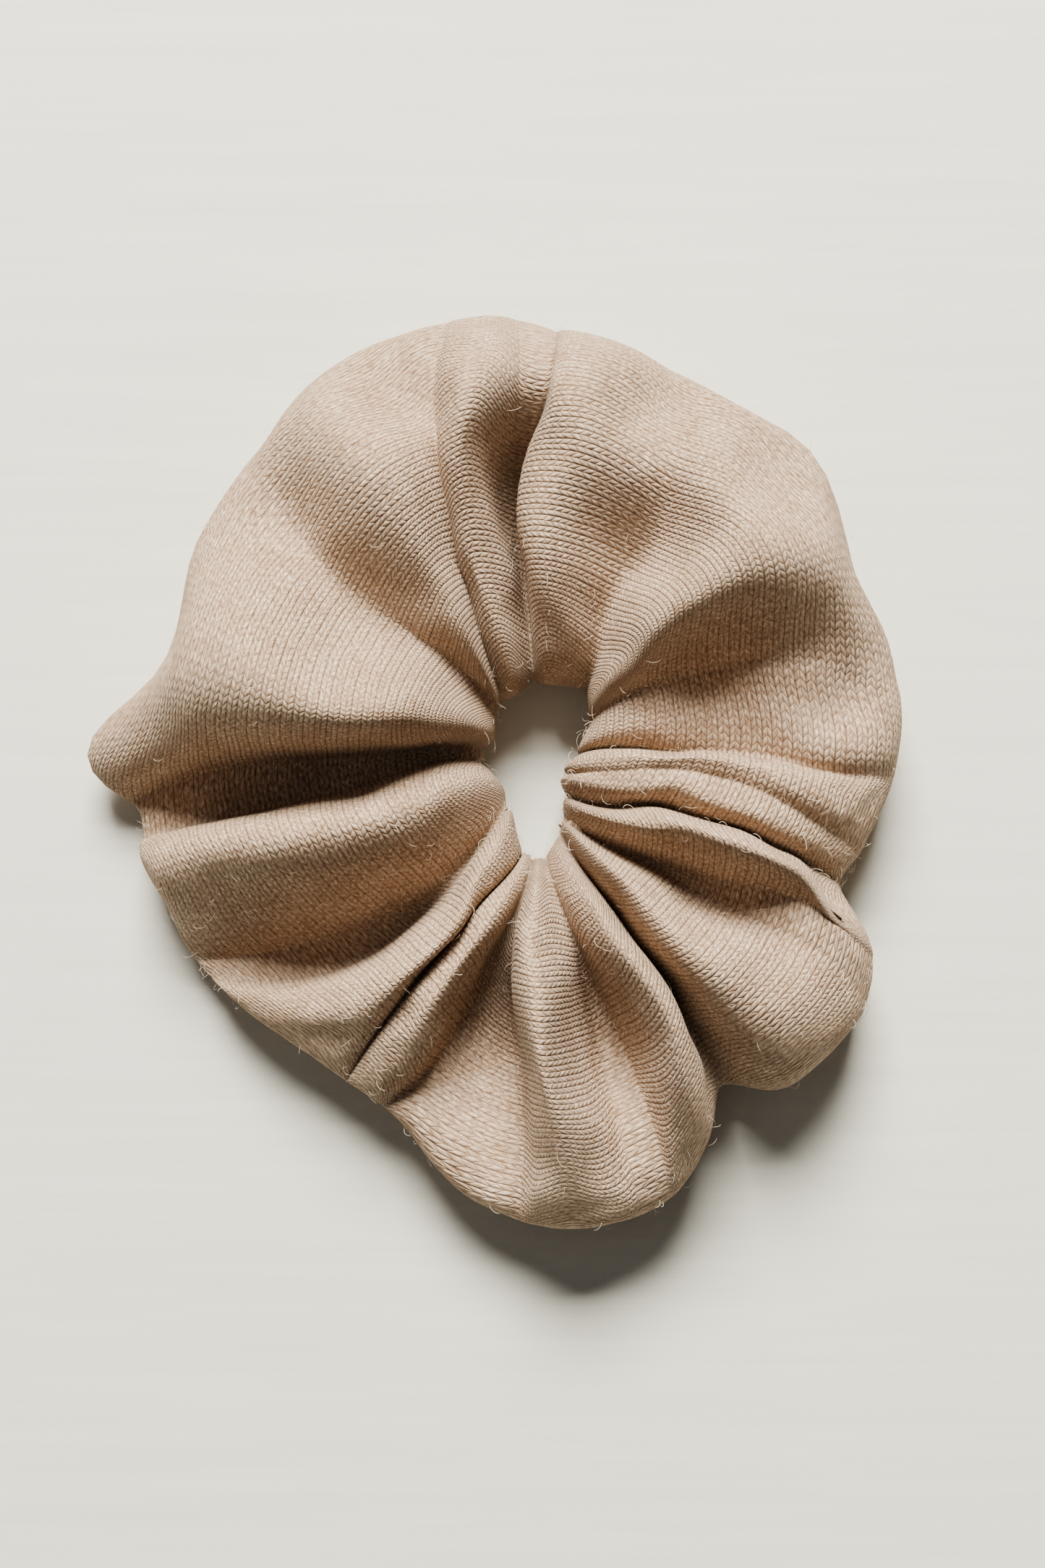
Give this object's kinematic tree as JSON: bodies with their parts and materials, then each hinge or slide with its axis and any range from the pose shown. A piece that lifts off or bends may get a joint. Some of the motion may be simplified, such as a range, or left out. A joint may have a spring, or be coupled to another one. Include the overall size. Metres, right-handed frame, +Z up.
{
  "type": "knitted scrunchie",
  "caption": "Soft hair tie: a knitted jersey tube gathered in deep puffs round a loose loop of flat elastic, lying flat with its hole open.",
  "frame": {"origin": "on the surface it rests on, under the middle of its bounding box", "axes": "+Z up out of the surface and along the axis of the hole, +Y along the longest side of the lying scrunchie, +X to the right seen from above"},
  "size_m": [0.1202, 0.1378, 0.0378],
  "materials": {
    "knit": "matte melange jersey, slightly fuzzy",
    "elastic": "matte braided elastic",
    "thread": "matte spun sewing thread"
  },
  "bodies": {
    "cover": {"knit_cover": "knit", "long_seam_thread": "thread", "closing_seam_thread": "thread"},
    "elastic": {"elastic_loop": "elastic", "elastic_join_thread": "thread"}
  },
  "joints": [
    {"name": "elastic_turn", "type": "hinge", "parent": "cover", "child": "elastic", "pos_m": [0.00411, 0.00096, 0.0056], "axis": [0, 0, 1], "continuous": true}
  ]
}
